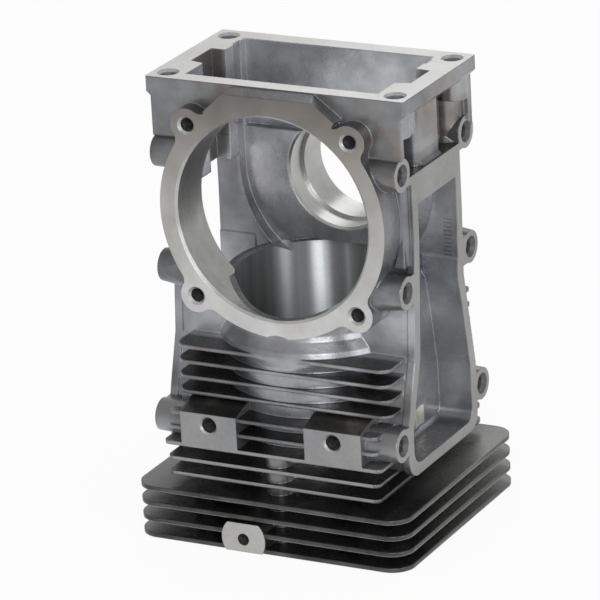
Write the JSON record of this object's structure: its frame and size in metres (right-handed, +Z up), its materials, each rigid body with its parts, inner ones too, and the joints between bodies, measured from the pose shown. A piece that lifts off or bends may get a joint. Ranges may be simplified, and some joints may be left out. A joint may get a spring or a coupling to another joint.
{
  "type": "single-cylinder engine block",
  "caption": "Cast engine block with a finned cylinder, an open crankcase with a round bearing register, open side chambers and a machined base flange.",
  "frame": {"origin": "Centre of the cylinder bore at the head face, with the block standing on its head face as in the picture.", "axes": "+Z up along the cylinder axis from the head face to the base flange, -Y out of the open main bearing register along the crankshaft axis, +X to the right of a viewer who looks into the register."},
  "size_m": [0.144, 0.1282, 0.223],
  "materials": {
    "block": "sand cast aluminium with machined faces and bores",
    "cylinder_liner": "honed bore"
  },
  "bodies": {
    "root": {"block": "block", "cylinder_liner": "cylinder_liner"}
  },
  "joints": []
}
